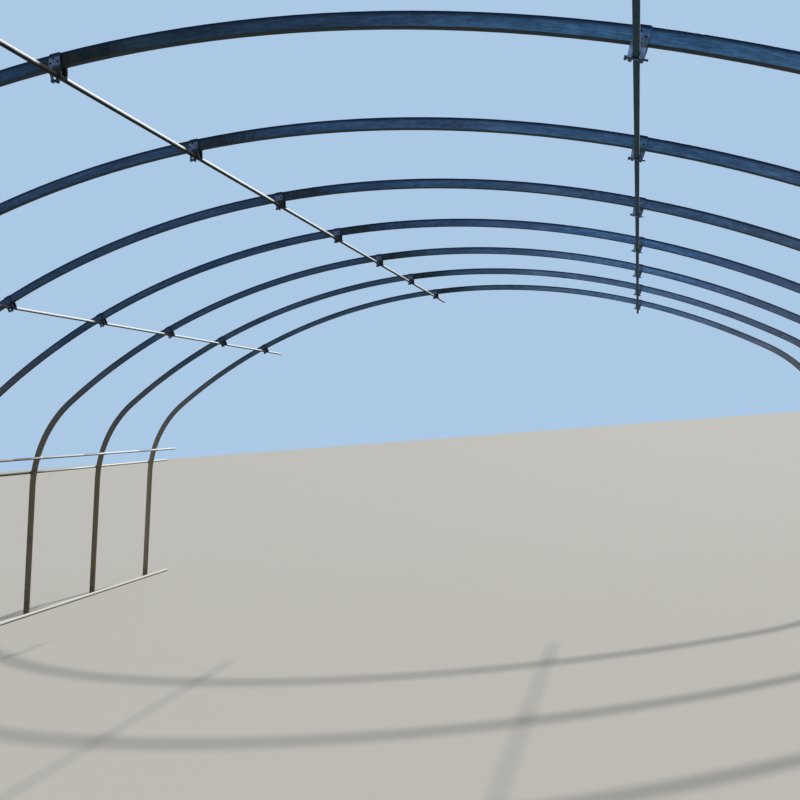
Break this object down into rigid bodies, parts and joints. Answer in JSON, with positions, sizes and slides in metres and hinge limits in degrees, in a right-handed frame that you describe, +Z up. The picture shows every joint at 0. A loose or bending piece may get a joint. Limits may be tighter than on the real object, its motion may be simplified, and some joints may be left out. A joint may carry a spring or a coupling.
{
  "type": "tunnel greenhouse frame",
  "caption": "Bare arched tunnel greenhouse frame of flat rectangular steel tube, open at both ends, with clamped purlins, wall rails and ground rails.",
  "frame": {"origin": "on the ground at the middle of the floor, under the ridge of the middle arch", "axes": "+X across the tunnel, +Y along it, +Z up"},
  "size_m": [8.2, 6.8, 3.1525],
  "materials": {
    "arch_steel": "dull galvanised",
    "rail_steel": "galvanised",
    "ground_rail_steel": "galvanised, dusty",
    "clamp_steel": "pressed, zinc plated",
    "wedge_steel": "dull zinc"
  },
  "bodies": {
    "root": {"arch_1_left": "arch_steel", "arch_1_right": "arch_steel", "arch_2_left": "arch_steel", "arch_2_right": "arch_steel", "arch_3_left": "arch_steel", "arch_3_right": "arch_steel", "arch_4_left": "arch_steel", "arch_4_right": "arch_steel", "arch_5_left": "arch_steel", "arch_5_right": "arch_steel", "arch_6_left": "arch_steel", "arch_6_right": "arch_steel", "arch_7_left": "arch_steel", "arch_7_right": "arch_steel", "left_eaves_rail": "rail_steel", "left_eaves_straps": "clamp_steel", "left_ground_rail": "ground_rail_steel", "left_purlin": "rail_steel", "left_purlin_saddles": "clamp_steel", "left_purlin_wedges": "wedge_steel", "left_side_rail": "rail_steel", "left_side_straps": "clamp_steel", "ridge_purlin": "rail_steel", "ridge_purlin_saddles": "clamp_steel", "ridge_purlin_wedges": "wedge_steel", "right_eaves_rail": "rail_steel", "right_eaves_straps": "clamp_steel", "right_ground_rail": "ground_rail_steel", "right_purlin": "rail_steel", "right_purlin_saddles": "clamp_steel", "right_purlin_wedges": "wedge_steel", "right_side_rail": "rail_steel", "right_side_straps": "clamp_steel"}
  },
  "joints": []
}
